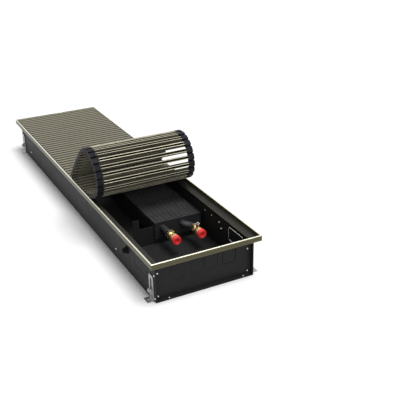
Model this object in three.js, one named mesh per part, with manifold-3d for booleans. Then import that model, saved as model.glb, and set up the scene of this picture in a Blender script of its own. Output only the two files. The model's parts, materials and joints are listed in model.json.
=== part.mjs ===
// Trench convector heater: a floor trough with a finned heat exchanger, under a roll-up bar grille.
// Millimetres. X runs across the trough, Y along it (the pipe connections face -Y), Z up.
// The origin is the middle of the trough's underside.

import * as THREE from 'three';
import { mergeVertices } from 'three/addons/utils/BufferGeometryUtils.js';
import Module from 'manifold-3d';

const wasm = await Module();
wasm.setup();

// ---- Driving dimensions ----

const clearance = 0.3; // gap between pieces that meet without being fused
const overshoot = 1; // cutters run this far past the faces they cut

const frameLength = 1000; // outside of the frame
const frameWidth = 250;
const frameTop = 97; // height of the finished floor above the underside
const fasciaThickness = 2;
const fasciaHeight = 12.5;
const ledgeThickness = 1.2;
const ledgeWidth = 18; // measured inwards from the fascia

const troughInset = 12; // trough wall behind the frame's outer edge
const sheetThickness = 1;
const endPlateRecess = 10; // end plate behind the end of the trough

const barPitch = 16;
const barWidth = 7.5;
const barWall = 1.2;
const barEndGap = 1.5; // from the bar's end to the fascia

const linkWidth = 14; // end link, measured along the bar
const linkTopDepth = 2.3; // link's top below the bar's top
const linkEndGap = 1.5; // link's end face to the hinge line
const hingeDepth = 4.5; // hinge line below the bar's top
const hingeNoseRadius = 2.2;

// The roll, from the flat part to the free end: how many hinges, and how far each one turns.
const rollRuns = [
  { hinges: 6, turn: 4.7 },
  { hinges: 3, turn: 21.1 },
  { hinges: 8, turn: 16.2 },
  { hinges: 8, turn: 1 },
];

const finPitch = 10;
const finThickness = 0.8;
const exchangerNearRoom = 222; // from the near end of the trough to the end sheet
const exchangerFarRoom = 60; // least room for the far bend, to the far end of the trough
const exchangerWallGap = 7; // to the right wall
const exchangerWidth = 118;
const exchangerBottom = 15;
const exchangerHeight = 40;
const coreHalfHeight = 10; // collars of the fins, round the pipes
const coreWall = 1.6;
const headerThickness = 1;

const pipeRadius = 7.5;
const pipeWall = 1;
const pipeRise = 25; // axis of both pipes above the exchanger's underside
const supplyInset = 20; // first pipe's axis from the exchanger's left side
const pipeSpacing = 50; // between the two pipes inside the exchanger
const returnOffset = 13; // how far the return pipe steps sideways
const portLength = 37; // from the end sheet to the pipes' ends, inside the union nuts
const bendGap = 2; // straight pipe between the exchanger and each bend
const bendLead = 1; // short straight step that keeps the tube square before the far bend
const returnBendLength = 26;

const nutLength = 14;
const nutAcrossFlats = 20;
const nutLipLength = 2;
const nutShoulderGap = 1; // from the pipe's end to the nut's lip
const tailRadius = 8.2; // threaded tail that the nut screws onto
const neckLength = 9;
const collarRadius = 10.8;
const collarLength = 7.5;
const fittingBore = 6;
const fittingChamfer = 0.8;

const capRadius = 10.7;
const capLength = 9.5;
const capPlugLength = 8;
const capSocketAcrossFlats = 10;
const capSocketDepth = 5;

const ventBossRadius = 3.6;
const ventBossStand = 0.453; // boss above the corners of the union nut
const ventBodyHeight = 5;
const ventAcrossFlats = 8;
const ventScrewRadius = 2.5;
const ventScrewHeight = 2.6;
const ventStemRadius = 1.3;
const ventSlotWidth = 0.8;
const ventSlotDepth = 1;

const supportThickness = 1.5;
const supportFootLength = 14;
const supportNearInset = 5; // brackets from the end sheet and from the last fin
const supportFarInset = 10.1;
const supportReach = 52; // tab's outer edge from the exchanger's left side
const supportTabWidth = 16;
const supportTabTop = 70;
const supportShoulderTop = 46;

const footInset = 18; // bracket centres from the ends of the trough
const footWidth = 20;
const footThickness = 2;
const footStripTop = 58;
const footPadReach = 15;
const footSlotBottom = 23; // lowest place of the bolt in the slot
const footTravel = 24;
const footSlotRadius = 3.3;
const footAnchorHoleHeight = 9;
const footHoleRadius = 2.7;
const footCornerCut = 4;

const boltRadius = 2.9;
const boltHeadRadius = 5;
const boltHeadHeight = 2.5;
const boltNutAcrossFlats = 10;
const boltNutHeight = 5;
const boltThreadBeyondNut = 2;

const glandInset = 143; // from the near end of the trough
const glandHeight = 53;
const glandFlangeRadius = 7.5;
const glandNeckRadius = 6;
const glandBoreRadius = 4;
const glandFlangeThickness = 2;

const slitWidth = 1.2;
const slitBridge = 3; // metal left at each corner of a knock-out
const endKnockoutWidth = 31;
const endKnockoutCentres = [-59.5, -16.5, 16.5, 59.5];
const endKnockoutBottom = 39;
const endKnockoutTop = 78;
const sideKnockoutInset = 39; // from the near end of the trough
const sideKnockoutLength = 66;
const sideKnockoutBottom = 37;
const sideKnockoutTop = 69;

// ---- Dimensions that follow from them ----

const halfLength = frameLength / 2;
const halfWidth = frameWidth / 2;
const frameBottom = frameTop - fasciaHeight;

const wallOuterX = halfWidth - troughInset;
const wallInnerX = wallOuterX - sheetThickness;
const troughEndY = halfLength - troughInset;
const troughTop = frameBottom - clearance;
const endPlateY = troughEndY - endPlateRecess;
const footY = troughEndY - footInset;
const glandY = glandInset - troughEndY;
const sideKnockoutNearY = sideKnockoutInset - troughEndY;

const barDepth = fasciaHeight - ledgeThickness - clearance;
const barCount = Math.floor((frameLength - 2 * fasciaThickness) / barPitch);
const hingeHeight = frameTop - hingeDepth;
const barHalfLength = halfWidth - fasciaThickness - barEndGap;
const grilleHalfLength = (barCount * barPitch) / 2;
const rolledBars = rollRuns.reduce((sum, run) => sum + run.hinges, 0);
const flatBars = barCount - rolledBars;
const rollStartY = -grilleHalfLength + rolledBars * barPitch;
const socketRadius = hingeNoseRadius + clearance;

const exchangerRightX = wallInnerX - exchangerWallGap;
const exchangerLeftX = exchangerRightX - exchangerWidth;
const exchangerNearY = exchangerNearRoom - troughEndY;
const finStartY = exchangerNearY + headerThickness + clearance;
const finCount = Math.floor((troughEndY - exchangerFarRoom - finStartY) / finPitch) + 1;
const finEndY = finStartY + (finCount - 1) * finPitch + finThickness;

const boreRadius = pipeRadius + clearance;
const pipeHeight = exchangerBottom + pipeRise;
const supplyX = exchangerLeftX + supplyInset;
const returnLegX = supplyX + pipeSpacing;
const returnPortX = returnLegX + returnOffset;
const portStartY = exchangerNearY - portLength;

const tailStartY = portStartY - clearance;
const nutStartY = portStartY + nutShoulderGap + nutLipLength;
const nutEndY = nutStartY - nutLength;
const collarStartY = nutEndY - neckLength;
const collarEndY = collarStartY - collarLength;
const ventY = nutEndY - neckLength / 2;
const ventBossTop = pipeHeight + nutAcrossFlats / Math.sqrt(3) + ventBossStand;
const capPlugRadius = fittingBore - clearance;

// ---- Materials ----

function finish(color, roughness, metalness) {
  return new THREE.MeshStandardMaterial({ color, roughness, metalness });
}

const bronzeAnodised = { color: 0x8a8468, roughness: 0.38, metalness: 0.9 };
const blackPaint = { color: 0x1d1e20, roughness: 0.55, metalness: 0.2 };
const blackCoating = { color: 0x232527, roughness: 0.5, metalness: 0.3 };
const brass = { color: 0xc9a052, roughness: 0.3, metalness: 0.95 };
const nickel = { color: 0xd0d0cc, roughness: 0.25, metalness: 0.95 };
const redPlastic = { color: 0xd52a2e, roughness: 0.45, metalness: 0 };
const zinc = { color: 0xb4b7ba, roughness: 0.4, metalness: 0.9 };
const blackRubber = { color: 0x151515, roughness: 0.8, metalness: 0 };

// ---- Helpers for shapes ----

// An outline of [a, b] points becomes a prism from `start` to `start + length` along one axis.
function prism(outline, length, basis, offset) {
  const shape = new THREE.Shape(outline.map(([a, b]) => new THREE.Vector2(a, b)));
  const geometry = new THREE.ExtrudeGeometry(shape, { depth: length, bevelEnabled: false });
  const [xAxis, yAxis, zAxis] = basis.map((axis) => new THREE.Vector3(...axis));
  geometry.applyMatrix4(new THREE.Matrix4().makeBasis(xAxis, yAxis, zAxis));
  return geometry.translate(...offset);
}

// The outline lies in Y and Z, and the prism runs along X from `start`.
function prismAlongX(outline, start, length) {
  return prism(outline, length, [[0, 1, 0], [0, 0, 1], [1, 0, 0]], [start, 0, 0]);
}

// The outline lies in X and Z, and the prism runs along Y from `start`.
function prismAlongY(outline, start, length) {
  return prism(outline, length, [[1, 0, 0], [0, 0, 1], [0, -1, 0]], [0, start + length, 0]);
}

// The outline lies in X and Y, and the prism runs up from `start`.
function prismAlongZ(outline, start, length) {
  return prism(outline, length, [[1, 0, 0], [0, 1, 0], [0, 0, 1]], [0, 0, start]);
}

// A box between two corners.
function block([x0, y0, z0], [x1, y1, z1]) {
  const geometry = new THREE.BoxGeometry(Math.abs(x1 - x0), Math.abs(y1 - y0), Math.abs(z1 - z0));
  return geometry.translate((x0 + x1) / 2, (y0 + y1) / 2, (z0 + z1) / 2);
}

// A round or many-sided rod along one axis, between two places on it.
function rod(axis, radius, from, to, sides) {
  const geometry = new THREE.CylinderGeometry(radius, radius, Math.abs(to - from), sides);
  if (axis === 'x') geometry.rotateZ(-Math.PI / 2);
  if (axis === 'z') geometry.rotateX(Math.PI / 2);
  const middle = (from + to) / 2;
  return geometry.translate(
    axis === 'x' ? middle : 0,
    axis === 'y' ? middle : 0,
    axis === 'z' ? middle : 0,
  );
}

// A hexagonal rod of a given size across its flats.
function hexRod(axis, acrossFlats, from, to) {
  return rod(axis, acrossFlats / Math.sqrt(3), from, to, 6);
}

// A turned piece: its [radius, height] profile spins round the Y axis.
function turned(profile, sides) {
  return new THREE.LatheGeometry(profile.map(([r, h]) => new THREE.Vector2(r, h)), sides);
}

// Points on an arc, angles in degrees, ends included.
function arcPoints([a, b], radius, from, to, steps) {
  return Array.from({ length: steps + 1 }, (_, i) => {
    const angle = THREE.MathUtils.degToRad(from + ((to - from) * i) / steps);
    return [a + radius * Math.cos(angle), b + radius * Math.sin(angle)];
  });
}

// ---- Helpers for joining and cutting ----

function toSolid(geometry) {
  const bare = geometry.clone();
  bare.deleteAttribute('normal');
  bare.deleteAttribute('uv');
  const merged = mergeVertices(bare, 1e-4);
  return new wasm.Manifold(new wasm.Mesh({
    numProp: 3,
    vertProperties: new Float32Array(merged.attributes.position.array),
    triVerts: new Uint32Array(merged.index.array),
  }));
}

function toGeometry(solid) {
  const mesh = solid.getMesh();
  const geometry = new THREE.BufferGeometry();
  geometry.setAttribute('position', new THREE.BufferAttribute(mesh.vertProperties, 3));
  geometry.setIndex(new THREE.BufferAttribute(mesh.triVerts, 1));
  geometry.computeVertexNormals();
  return geometry;
}

// Everything in `joined` becomes one solid, and everything in `removed` is cut from it.
function carve(joined, removed = []) {
  let solid = joined.map(toSolid).reduce((sum, next) => sum.add(next));
  for (const cutter of removed) solid = solid.subtract(toSolid(cutter));
  return toGeometry(solid);
}

const heater = new THREE.Group();

function piece(name, geometry, look, parent = heater) {
  const mesh = new THREE.Mesh(geometry, finish(look.color, look.roughness, look.metalness));
  mesh.name = name;
  parent.add(mesh);
  return mesh;
}

// ---- Frame ----

// A mitred L-shaped rail along Y whose fascia faces -X. `trim` draws both mitred ends in.
function railGeometry(outerHalfLength, outerX, trim) {
  const mitred = (from, to) => {
    const longHalf = outerHalfLength - trim - (from + outerX);
    const shortHalf = outerHalfLength - trim - (to + outerX);
    return [[to, -shortHalf], [to, shortHalf], [from, longHalf], [from, -longHalf]];
  };
  const fasciaInner = -outerX + fasciaThickness;
  return carve([
    prismAlongZ(mitred(-outerX, fasciaInner), frameBottom, fasciaHeight),
    prismAlongZ(mitred(-outerX, fasciaInner + ledgeWidth), frameBottom, ledgeThickness),
  ]);
}

function addFrame() {
  const mitreGap = clearance * Math.SQRT2;
  const sides = [
    { name: 'frame_rail_left', turn: 0, half: halfLength, out: halfWidth, trim: mitreGap },
    { name: 'frame_rail_near', turn: 90, half: halfWidth, out: halfLength, trim: 0 },
    { name: 'frame_rail_right', turn: 180, half: halfLength, out: halfWidth, trim: mitreGap },
    { name: 'frame_rail_far', turn: 270, half: halfWidth, out: halfLength, trim: 0 },
  ];
  for (const side of sides) {
    const rail = piece(side.name, railGeometry(side.half, side.out, side.trim), bronzeAnodised);
    rail.rotation.z = THREE.MathUtils.degToRad(side.turn);
  }
}

// ---- Trough ----

// Slits round a knock-out, with a bridge of metal at each corner, through a sheet across `axis`.
function knockoutSlits(axis, low, high, bottom, top, from, to) {
  const bar = (a0, a1, z0, z1) => (axis === 'x'
    ? block([from, a0, z0], [to, a1, z1])
    : block([a0, from, z0], [a1, to, z1]));
  return [
    bar(low, low + slitWidth, bottom + slitBridge, top - slitBridge),
    bar(high - slitWidth, high, bottom + slitBridge, top - slitBridge),
    bar(low + slitBridge, high - slitBridge, bottom, bottom + slitWidth),
    bar(low + slitBridge, high - slitBridge, top - slitWidth, top),
  ];
}

function addTrough() {
  const section = [
    [-wallOuterX, 0], [wallOuterX, 0], [wallOuterX, troughTop], [wallInnerX, troughTop],
    [wallInnerX, sheetThickness], [-wallInnerX, sheetThickness],
    [-wallInnerX, troughTop], [-wallOuterX, troughTop],
  ];
  const cuts = [];
  for (const side of [-1, 1]) {
    const inside = side * (wallInnerX - overshoot);
    const outside = side * (wallOuterX + overshoot);
    for (const end of [-1, 1]) {
      const hole = rod('x', boltRadius + clearance, inside, outside, 12);
      cuts.push(hole.translate(0, end * footY, footSlotBottom));
    }
    cuts.push(...knockoutSlits(
      'x', sideKnockoutNearY, sideKnockoutNearY + sideKnockoutLength,
      sideKnockoutBottom, sideKnockoutTop, inside, outside,
    ));
  }
  const glandHole = rod(
    'x', glandNeckRadius + clearance, -wallInnerX + overshoot, -wallOuterX - overshoot, 12,
  );
  cuts.push(glandHole.translate(0, glandY, glandHeight));
  piece('trough', carve([prismAlongY(section, -troughEndY, 2 * troughEndY)], cuts), blackPaint);
}

// An end plate stands inside the trough, with its flanges turned outwards.
function addEndPlates() {
  const halfPlate = wallInnerX - clearance;
  const bottom = sheetThickness + clearance;
  const plate = block(
    [-halfPlate, -endPlateY, bottom],
    [halfPlate, -endPlateY + sheetThickness, troughTop],
  );
  const flanges = [-1, 1].map((side) => block(
    [side * (halfPlate - sheetThickness), -troughEndY, bottom],
    [side * halfPlate, -endPlateY + sheetThickness, troughTop],
  ));
  const foot = block(
    [-halfPlate, -troughEndY, bottom],
    [halfPlate, -endPlateY + sheetThickness, bottom + sheetThickness],
  );
  const slits = endKnockoutCentres.flatMap((centre) => knockoutSlits(
    'y', centre - endKnockoutWidth / 2, centre + endKnockoutWidth / 2,
    endKnockoutBottom, endKnockoutTop, -endPlateY - overshoot,
    -endPlateY + sheetThickness + overshoot,
  ));
  const geometry = carve([plate, ...flanges, foot], slits);
  piece('end_plate_near', geometry, blackPaint);
  piece('end_plate_far', geometry.clone(), blackPaint).rotation.z = Math.PI;
}

// ---- Roll-up grille ----

// In a bar's own frame the hinge line is the X axis and the bars lie towards -Y.
const barTop = hingeDepth;
const barBottom = hingeDepth - barDepth;
const linkTop = hingeDepth - linkTopDepth;

// An inverted channel between the end links, open underneath.
function barGeometry(centreY) {
  const outer = barWidth / 2;
  const inner = outer - barWall;
  const section = [
    [centreY - outer, barBottom], [centreY - inner, barBottom], [centreY - inner, barTop - barWall],
    [centreY + inner, barTop - barWall], [centreY + inner, barBottom], [centreY + outer, barBottom],
    [centreY + outer, barTop], [centreY - outer, barTop],
  ];
  const halfSpan = barHalfLength - linkWidth;
  return prismAlongX(section, -halfSpan, 2 * halfSpan);
}

// Both end links under a run of bars, with the bars' ends standing on them. The -Y end has the
// hollow that the next hinge nose turns in, and the +Y end has such a nose if asked.
function linkPair(bars, withNose) {
  const length = bars * barPitch;
  const noseAngle = THREE.MathUtils.radToDeg(Math.acos(-linkEndGap / hingeNoseRadius));
  const socketAngle = THREE.MathUtils.radToDeg(Math.acos(linkEndGap / socketRadius));
  const nose = withNose ? arcPoints([0, 0], hingeNoseRadius, -noseAngle, noseAngle, 5) : [];
  const socket = arcPoints([-length, 0], socketRadius, socketAngle, -socketAngle, 3);
  const crest = [];
  for (let i = 0; i < bars; i += 1) {
    const centreY = -(i + 0.5) * barPitch;
    const [near, far] = [centreY - barWidth / 2, centreY + barWidth / 2];
    crest.push([far, linkTop], [far, barTop], [near, barTop], [near, linkTop]);
  }
  const section = [
    [-linkEndGap, barBottom], ...nose, [-linkEndGap, linkTop], ...crest,
    [-length + linkEndGap, linkTop], ...socket, [-length + linkEndGap, barBottom],
  ];
  return [
    prismAlongX(section, -barHalfLength, linkWidth),
    prismAlongX(section, barHalfLength - linkWidth, linkWidth),
  ];
}

// The part of the grille that still lies in the frame, as one sheet of bars.
function addFlatGrille() {
  const bars = Array.from({ length: flatBars }, (_, i) => barGeometry(-(i + 0.5) * barPitch));
  const flat = piece('grille_flat', carve([...linkPair(flatBars, false), ...bars]), bronzeAnodised);
  flat.position.set(0, rollStartY + flatBars * barPitch, hingeHeight);
}

// Each rolled bar hangs on the one before it, turned by its hinge.
function addRolledGrille() {
  const geometry = carve([...linkPair(1, true), barGeometry(-barPitch / 2)]);
  let joint = new THREE.Group();
  joint.position.set(0, rollStartY, hingeHeight);
  heater.add(joint);
  let number = 0;
  for (const run of rollRuns) {
    for (let i = 0; i < run.hinges; i += 1) {
      number += 1;
      joint.rotation.x = -THREE.MathUtils.degToRad(run.turn);
      piece(`grille_bar_${String(number).padStart(2, '0')}`, geometry.clone(), bronzeAnodised, joint);
      const next = new THREE.Group();
      next.position.y = -barPitch;
      joint.add(next);
      joint = next;
    }
  }
}

// ---- Heat exchanger ----

// Fins across the air path, joined by the collars that they are pressed together with.
function addFinPack() {
  const low = exchangerBottom;
  const high = exchangerBottom + exchangerHeight;
  const coreLow = pipeHeight - coreHalfHeight;
  const coreHigh = pipeHeight + coreHalfHeight;
  const upper = [];
  const lower = [];
  for (let i = 0; i < finCount; i += 1) {
    const y0 = finStartY + i * finPitch;
    const y1 = y0 + finThickness;
    if (i > 0) lower.push([y0, coreLow]);
    lower.push([y0, low], [y1, low]);
    if (i < finCount - 1) lower.push([y1, coreLow]);
    if (i > 0) upper.push([y0, coreHigh]);
    upper.push([y0, high], [y1, high]);
    if (i < finCount - 1) upper.push([y1, coreHigh]);
  }
  const comb = prismAlongX([...lower, ...upper.reverse()], exchangerLeftX, exchangerWidth);
  const bores = [supplyX, returnLegX].map((x) => rod(
    'y', boreRadius, finStartY - overshoot, finEndY + overshoot, 12,
  ).translate(x, 0, pipeHeight));
  const wallFromPipe = boreRadius + coreWall;
  const hollows = [
    [exchangerLeftX + coreWall, supplyX - wallFromPipe],
    [supplyX + wallFromPipe, returnLegX - wallFromPipe],
    [returnLegX + wallFromPipe, exchangerRightX - coreWall],
  ].map(([x0, x1]) => block(
    [x0, finStartY - overshoot, coreLow + coreWall],
    [x1, finEndY + overshoot, coreHigh - coreWall],
  ));
  piece('fin_pack', carve([comb], [...bores, ...hollows]), blackCoating);
}

// The end sheet in front of the fins, with the two pipe holes.
function addHeader() {
  const sheet = block(
    [exchangerLeftX, exchangerNearY, exchangerBottom],
    [exchangerRightX, exchangerNearY + headerThickness, exchangerBottom + exchangerHeight],
  );
  const holes = [supplyX, returnLegX].map((x) => rod(
    'y', boreRadius, exchangerNearY - overshoot, exchangerNearY + headerThickness + overshoot, 12,
  ).translate(x, 0, pipeHeight));
  piece('exchanger_header', carve([sheet], holes), blackCoating);
}

// A route through listed points, with one step of the tube at each point.
class StepRoute extends THREE.Curve {
  constructor(points) {
    super();
    this.points = points;
  }

  getPoint(t) {
    const place = Math.min(t, 1) * (this.points.length - 1);
    const index = Math.min(Math.floor(place), this.points.length - 2);
    return this.points[index].clone().lerp(this.points[index + 1], place - index);
  }

  getPointAt(u) {
    return this.getPoint(u);
  }

  getTangentAt(u) {
    const last = this.points.length - 1;
    const index = Math.round(u * last);
    const before = this.points[Math.max(index - 1, 0)];
    const after = this.points[Math.min(index + 1, last)];
    return after.clone().sub(before).normalize();
  }
}

// One tube: in at the supply, round the far end and back, with an offset bend before the return port.
function pipeRoute() {
  const turnY = finEndY + bendGap;
  const at = (x, y) => new THREE.Vector3(x, y, pipeHeight);
  const points = [at(supplyX, portStartY), at(supplyX, turnY - bendLead)];
  const farBend = arcPoints([(supplyX + returnLegX) / 2, turnY], pipeSpacing / 2, 180, 0, 10);
  for (const [x, y] of farBend) points.push(at(x, y));
  const bendStart = exchangerNearY - clearance - bendGap;
  points.push(at(returnLegX, turnY - bendLead), at(returnLegX, bendStart + bendGap));
  const bendSteps = 8;
  for (let i = 0; i <= bendSteps; i += 1) {
    const share = i / bendSteps;
    const sideways = THREE.MathUtils.smoothstep(share, 0, 1);
    const x = returnLegX + (returnPortX - returnLegX) * sideways;
    points.push(at(x, bendStart - returnBendLength * share));
  }
  points.push(at(returnPortX, portStartY));
  return new StepRoute(points);
}

function addTube() {
  const route = pipeRoute();
  const ring = new THREE.Shape();
  ring.absarc(0, 0, pipeRadius, 0, 2 * Math.PI, false);
  const bore = new THREE.Path();
  bore.absarc(0, 0, pipeRadius - pipeWall, 0, 2 * Math.PI, true);
  ring.holes.push(bore);
  const geometry = new THREE.ExtrudeGeometry(ring, {
    steps: route.points.length - 1,
    curveSegments: 5,
    bevelEnabled: false,
    extrudePath: route,
  });
  piece('heating_tube', carve([geometry]), blackCoating);
}

// A sheet bracket under the exchanger, with a shoulder and a tab beside it and a foot on the floor.
function addSupports() {
  const floor = sheetThickness + clearance;
  const underside = exchangerBottom - clearance;
  const besideX = exchangerLeftX - clearance;
  const supportLeftX = exchangerLeftX - supportReach;
  const outline = [
    [supportLeftX, floor], [wallInnerX - clearance, floor], [wallInnerX - clearance, underside],
    [besideX, underside], [besideX, supportShoulderTop],
    [supportLeftX + supportTabWidth, supportShoulderTop],
    [supportLeftX + supportTabWidth, supportTabTop], [supportLeftX, supportTabTop],
  ];
  const supports = [
    { name: 'exchanger_support_near', y: exchangerNearY + supportNearInset },
    { name: 'exchanger_support_far', y: finEndY - supportFarInset },
  ];
  for (const { name, y } of supports) {
    const foot = block(
      [supportLeftX, y, floor],
      [wallInnerX - clearance, y + supportFootLength, floor + supportThickness],
    );
    piece(name, carve([prismAlongY(outline, y, supportThickness), foot]), blackPaint);
  }
}

// ---- Pipe connections ----

// Everything here is turned about the port's own axis, along Y.
function fittingProfile() {
  return [
    [fittingBore, tailStartY], [tailRadius, tailStartY], [tailRadius, collarStartY],
    [collarRadius - fittingChamfer, collarStartY],
    [collarRadius, collarStartY - fittingChamfer],
    [collarRadius, collarEndY + fittingChamfer],
    [collarRadius - fittingChamfer, collarEndY],
    [fittingBore, collarEndY], [fittingBore, tailStartY],
  ].reverse();
}

function addPort(prefix, x, withVent) {
  const centre = (geometry) => geometry.translate(x, 0, pipeHeight);
  const body = centre(turned(fittingProfile(), 16));
  if (withVent) {
    const bossStart = pipeHeight + (fittingBore + tailRadius) / 2;
    const boss = rod('z', ventBossRadius, bossStart, ventBossTop, 12).translate(x, ventY, 0);
    const drilling = rod('z', ventStemRadius + clearance, pipeHeight, ventBossTop + overshoot, 8);
    piece(`${prefix}_fitting`, carve([body, boss], [drilling.translate(x, ventY, 0)]), brass);
  } else {
    piece(`${prefix}_fitting`, carve([body]), brass);
  }

  const nut = centre(hexRod('y', nutAcrossFlats, nutStartY, nutEndY));
  const wideBore = centre(
    rod('y', tailRadius + clearance, nutStartY - nutLipLength, nutEndY - overshoot, 16),
  );
  const lipBore = centre(rod('y', boreRadius, nutStartY + overshoot, nutEndY, 16));
  piece(`${prefix}_union_nut`, carve([nut], [wideBore, lipBore]), brass);

  const capStartY = collarEndY - clearance;
  const capEndY = capStartY - capLength;
  const flange = centre(rod('y', capRadius, capStartY, capEndY, 20));
  const plug = centre(rod('y', capPlugRadius, capStartY + capPlugLength, capStartY - overshoot, 16));
  const socket = centre(
    hexRod('y', capSocketAcrossFlats, capEndY + capSocketDepth, capEndY - overshoot),
  );
  piece(`${prefix}_cap`, carve([flange, plug], [socket]), redPlastic);
}

// The bleed valve on the return fitting: a hexagonal body and the screw that opens it.
function addAirVent() {
  const bodyBottom = ventBossTop + clearance;
  const bodyTop = bodyBottom + ventBodyHeight;
  const place = (geometry) => geometry.translate(returnPortX, ventY, 0);
  const hex = place(hexRod('z', ventAcrossFlats, bodyBottom, bodyTop));
  const bore = place(
    rod('z', ventStemRadius + clearance, bodyBottom - overshoot, bodyTop + overshoot, 8),
  );
  piece('air_vent_body', carve([hex], [bore]), nickel);

  const headBottom = bodyTop + clearance;
  const headTop = headBottom + ventScrewHeight;
  const head = place(rod('z', ventScrewRadius, headBottom, headTop, 14));
  const stem = place(rod('z', ventStemRadius, bodyBottom, headBottom + overshoot, 8));
  const slot = place(block(
    [-ventScrewRadius - overshoot, -ventSlotWidth / 2, headTop - ventSlotDepth],
    [ventScrewRadius + overshoot, ventSlotWidth / 2, headTop + overshoot],
  ));
  piece('air_vent_screw', carve([head, stem], [slot]), nickel);
}

// ---- Feet ----

// A bracket on the +X wall: a slotted strip against the wall and a pad on the floor.
function footGeometry() {
  const innerX = wallOuterX + clearance;
  const outerX = innerX + footThickness;
  const half = footWidth / 2;
  const strip = prismAlongX([
    [-half, 0], [half, 0], [half, footStripTop - footCornerCut],
    [half - footCornerCut, footStripTop],
    [-half + footCornerCut, footStripTop], [-half, footStripTop - footCornerCut],
  ], innerX, footThickness);
  const pad = block([innerX, -half, 0], [innerX + footPadReach, half, footThickness]);
  const slotTop = footSlotBottom + footTravel;
  const slot = block(
    [innerX - overshoot, -footSlotRadius, footSlotBottom],
    [outerX + overshoot, footSlotRadius, slotTop],
  );
  const slotEnds = [footSlotBottom, slotTop].map(
    (z) => rod('x', footSlotRadius, innerX - overshoot, outerX + overshoot, 12).translate(0, 0, z),
  );
  const spare = rod('x', footHoleRadius, innerX - overshoot, outerX + overshoot, 12);
  spare.translate(0, 0, footAnchorHoleHeight);
  const anchor = rod('z', footHoleRadius, -overshoot, footThickness + overshoot, 12);
  anchor.translate((outerX + innerX + footPadReach) / 2, 0, 0);
  return carve([strip, pad], [slot, ...slotEnds, spare, anchor]);
}

// The clamping bolt goes out through the wall and the slot, and its nut sits outside.
function boltGeometry() {
  const headOuter = wallInnerX - clearance;
  const nutEnd = wallOuterX + 3 * clearance + footThickness + boltNutHeight;
  return carve([
    rod('x', boltHeadRadius, headOuter - boltHeadHeight, headOuter, 16),
    rod('x', boltRadius, headOuter - overshoot, nutEnd + boltThreadBeyondNut, 12),
  ]);
}

function boltNutGeometry() {
  const start = wallOuterX + 2 * clearance + footThickness;
  const nut = hexRod('x', boltNutAcrossFlats, start, start + boltNutHeight);
  return carve([nut], [
    rod('x', boltRadius + clearance, start - overshoot, start + boltNutHeight + overshoot, 12),
  ]);
}

function addFeet() {
  const foot = footGeometry();
  const bolt = boltGeometry();
  const nut = boltNutGeometry();
  const corners = [
    { name: 'near_left', side: -1, end: -1 },
    { name: 'near_right', side: 1, end: -1 },
    { name: 'far_left', side: -1, end: 1 },
    { name: 'far_right', side: 1, end: 1 },
  ];
  for (const corner of corners) {
    const place = (mesh, height) => {
      mesh.rotation.z = corner.side < 0 ? Math.PI : 0;
      mesh.position.set(0, corner.end * footY, height);
    };
    place(piece(`foot_bracket_${corner.name}`, foot.clone(), zinc), 0);
    place(piece(`foot_bolt_${corner.name}`, bolt.clone(), zinc), footSlotBottom);
    place(piece(`foot_nut_${corner.name}`, nut.clone(), zinc), footSlotBottom);
  }
}

// ---- Cable gland ----

// A rubber grommet through the -X wall, bored for the fan or valve cable.
function addCableGland() {
  const wallGap = sheetThickness / 2 + clearance;
  const outer = wallGap + glandFlangeThickness;
  const profile = [
    [glandBoreRadius, -outer], [glandFlangeRadius, -outer], [glandFlangeRadius, -wallGap],
    [glandNeckRadius, -wallGap], [glandNeckRadius, wallGap], [glandFlangeRadius, wallGap],
    [glandFlangeRadius, outer], [glandBoreRadius, outer], [glandBoreRadius, -outer],
  ];
  const gland = piece('cable_gland', carve([turned(profile, 16)]), blackRubber);
  gland.rotation.z = Math.PI / 2;
  gland.position.set(-(wallInnerX + wallOuterX) / 2, glandY, glandHeight);
}

addFrame();
addTrough();
addEndPlates();
addFlatGrille();
addRolledGrille();
addFinPack();
addHeader();
addTube();
addSupports();
addPort('supply', supplyX, false);
addPort('return', returnPortX, true);
addAirVent();
addFeet();
addCableGland();

export default heater;
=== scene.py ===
import json
import math

import bmesh
import bpy
from mathutils import Matrix, Vector


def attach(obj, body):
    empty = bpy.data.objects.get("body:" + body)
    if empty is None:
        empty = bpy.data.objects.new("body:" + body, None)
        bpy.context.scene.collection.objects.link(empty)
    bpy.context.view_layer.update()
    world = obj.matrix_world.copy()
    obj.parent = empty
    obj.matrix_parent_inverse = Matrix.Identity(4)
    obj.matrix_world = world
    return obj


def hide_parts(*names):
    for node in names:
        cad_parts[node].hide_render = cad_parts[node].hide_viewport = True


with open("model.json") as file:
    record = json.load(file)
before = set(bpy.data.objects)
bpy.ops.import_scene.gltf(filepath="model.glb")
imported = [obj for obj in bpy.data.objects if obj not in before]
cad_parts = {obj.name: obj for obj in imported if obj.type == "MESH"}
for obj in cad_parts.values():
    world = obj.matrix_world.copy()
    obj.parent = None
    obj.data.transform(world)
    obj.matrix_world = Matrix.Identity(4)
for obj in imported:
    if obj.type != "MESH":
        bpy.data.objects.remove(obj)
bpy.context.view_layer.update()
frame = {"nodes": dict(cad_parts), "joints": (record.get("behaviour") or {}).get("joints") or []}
mm = 0.001


# ---- Studio ----
# The heater stands on a plain white floor under soft, even light. Wide light from above on the right
# leaves a short shadow along the left side, and some light from the front reaches into the trough.

lens = 64.963
camera_place = (-0.58903, -1.60925, 0.79540)
azimuth = math.radians(27.2724)
elevation = math.radians(25.1150)
roll = math.radians(-1.0281)

ahead = Vector((
    math.sin(azimuth) * math.cos(elevation),
    math.cos(azimuth) * math.cos(elevation),
    -math.sin(elevation),
))
level_right = ahead.cross(Vector((0, 0, 1))).normalized()
level_up = level_right.cross(ahead)
right = math.cos(roll) * level_right + math.sin(roll) * level_up
up = -math.sin(roll) * level_right + math.cos(roll) * level_up

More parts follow.
